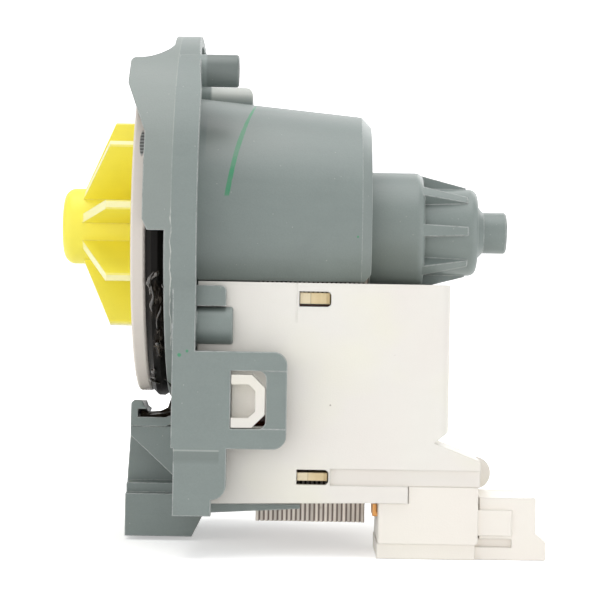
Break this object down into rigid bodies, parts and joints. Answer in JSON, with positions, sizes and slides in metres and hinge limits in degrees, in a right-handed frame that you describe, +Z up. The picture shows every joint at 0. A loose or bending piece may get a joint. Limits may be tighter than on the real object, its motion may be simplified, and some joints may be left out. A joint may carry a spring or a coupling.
{
  "type": "washer drain pump",
  "caption": "Washer drain pump: bayonet flange, radial-blade impeller on a lost-motion coupling, magnet rotor in a ribbed can, laminated U-core with covered coils and a blade socket",
  "frame": {"origin": "on the rotor axis, in the plane of the flange's front seating face", "axes": "-X along the rotor axis towards the impeller, +X towards the rear bearing, +Z up, coils below the rotor"},
  "size_m": [0.0935, 0.076, 0.0997],
  "materials": {
    "grey_plastic": "fine moulded texture, satin",
    "pale_plastic": "smooth moulded",
    "black_rubber": "moulded rubber, lightly greased",
    "graphite": "carbon bush",
    "shaft_steel": "ground",
    "ferrite": "sintered",
    "inner_plastic": "moulded",
    "yellow_plastic": "moulded, satin",
    "core_steel": "punched sheet edges",
    "bobbin_plastic": "moulded",
    "copper_wire": "enamelled wire",
    "white_plastic": "moulded, satin",
    "cream_plastic": "moulded, satin",
    "tinned_brass": "stamped"
  },
  "bodies": {
    "pump_body": {"motor_housing": "grey_plastic", "back_plate": "pale_plastic", "volute_gasket": "black_rubber", "back_plate_sealing_ring": "black_rubber", "front_bearing": "graphite", "front_bearing_mount": "black_rubber", "rear_bearing": "graphite", "rear_bearing_mount": "black_rubber", "front_thrust_washer": "shaft_steel", "rear_thrust_washer": "shaft_steel", "stator_core": "core_steel", "core_rivets": "shaft_steel", "bobbin_near": "bobbin_plastic", "bobbin_far": "bobbin_plastic", "winding_near": "copper_wire", "winding_far": "copper_wire", "thermal_fuse": "inner_plastic", "coil_cover": "white_plastic", "connector_housing": "cream_plastic", "terminal_near": "tinned_brass", "terminal_far": "tinned_brass"},
    "rotor": {"rotor_shaft": "shaft_steel", "rotor_magnet": "ferrite", "rotor_hub": "inner_plastic", "coupling_dog": "inner_plastic", "coupling_bumpers": "black_rubber"},
    "impeller_wheel": {"impeller": "yellow_plastic", "hub_retainer": "yellow_plastic"}
  },
  "joints": [
    {"name": "rotor_spin", "type": "hinge", "parent": "pump_body", "child": "rotor", "pos_m": [0, 0, 0], "axis": [1, 0, 0], "continuous": true},
    {"name": "impeller_lost_motion", "type": "hinge", "parent": "rotor", "child": "impeller_wheel", "pos_m": [0, 0, 0], "axis": [-1, 0, 0], "range_deg": [0, 178]}
  ]
}
